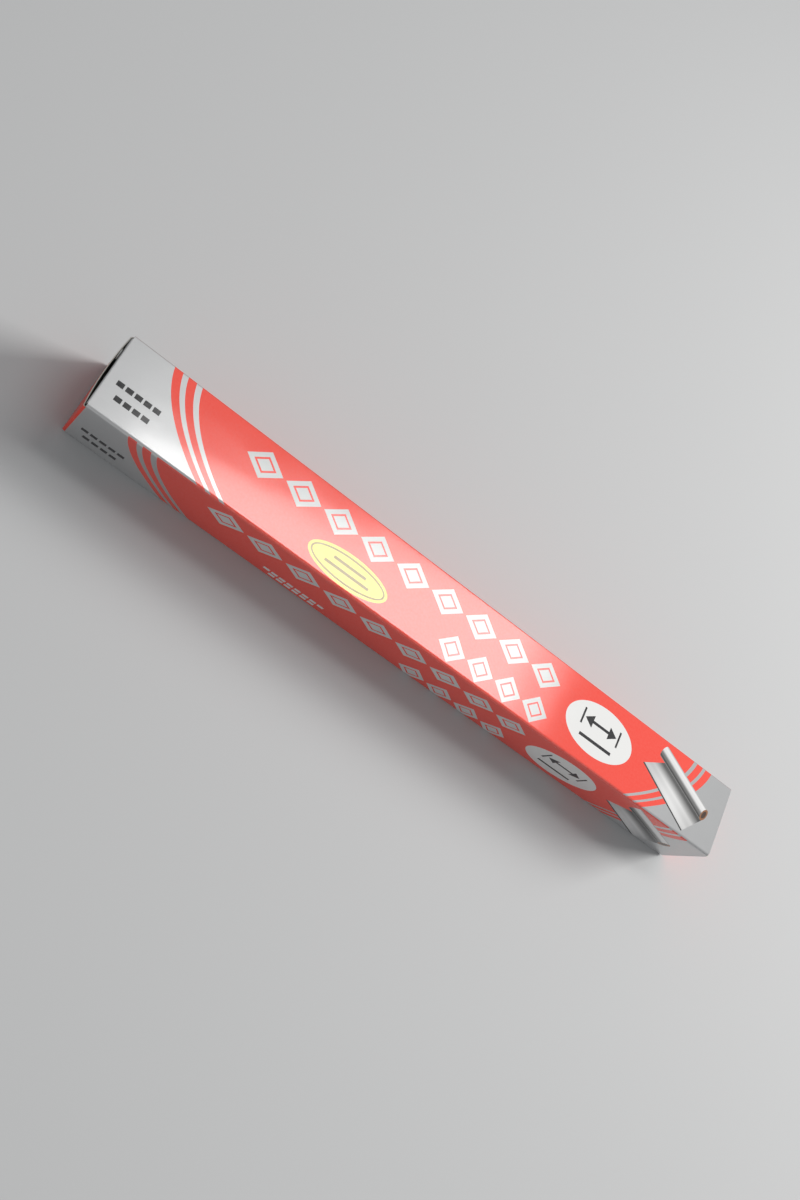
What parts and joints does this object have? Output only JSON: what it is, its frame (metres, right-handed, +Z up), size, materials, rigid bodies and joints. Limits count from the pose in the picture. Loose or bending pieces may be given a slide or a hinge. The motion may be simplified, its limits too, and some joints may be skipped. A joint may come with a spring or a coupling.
{
  "type": "boxed aluminium foil roll",
  "caption": "Long printed board carton with a hinged lid, a toothed cutting strip on the lid's lip and a roll of kitchen foil on a board core inside.",
  "frame": {"origin": "centre of the carton's floor panel, on the surface that it rests on", "axes": "+X along the roll, -Y out of the front wall that the lid is hinged on, +Z up through the lid"},
  "size_m": [0.4573, 0.047, 0.043],
  "materials": {
    "printed_board": "satin varnished print on grey-backed carton board",
    "foil": "bright rolled",
    "core_board": "matt brown tube board",
    "cutter_steel": "bright tinned strip"
  },
  "bodies": {
    "tray": {"carton_tray": "printed_board", "foil_roll": "foil", "core_tube": "core_board"},
    "lid": {"carton_lid": "printed_board", "cutter_strip": "cutter_steel"}
  },
  "joints": [
    {"name": "lid_hinge", "type": "hinge", "parent": "tray", "child": "lid", "pos_m": [0, -0.02353, 0.0412], "axis": [1, 0, 0], "range_deg": [0, 180]}
  ]
}
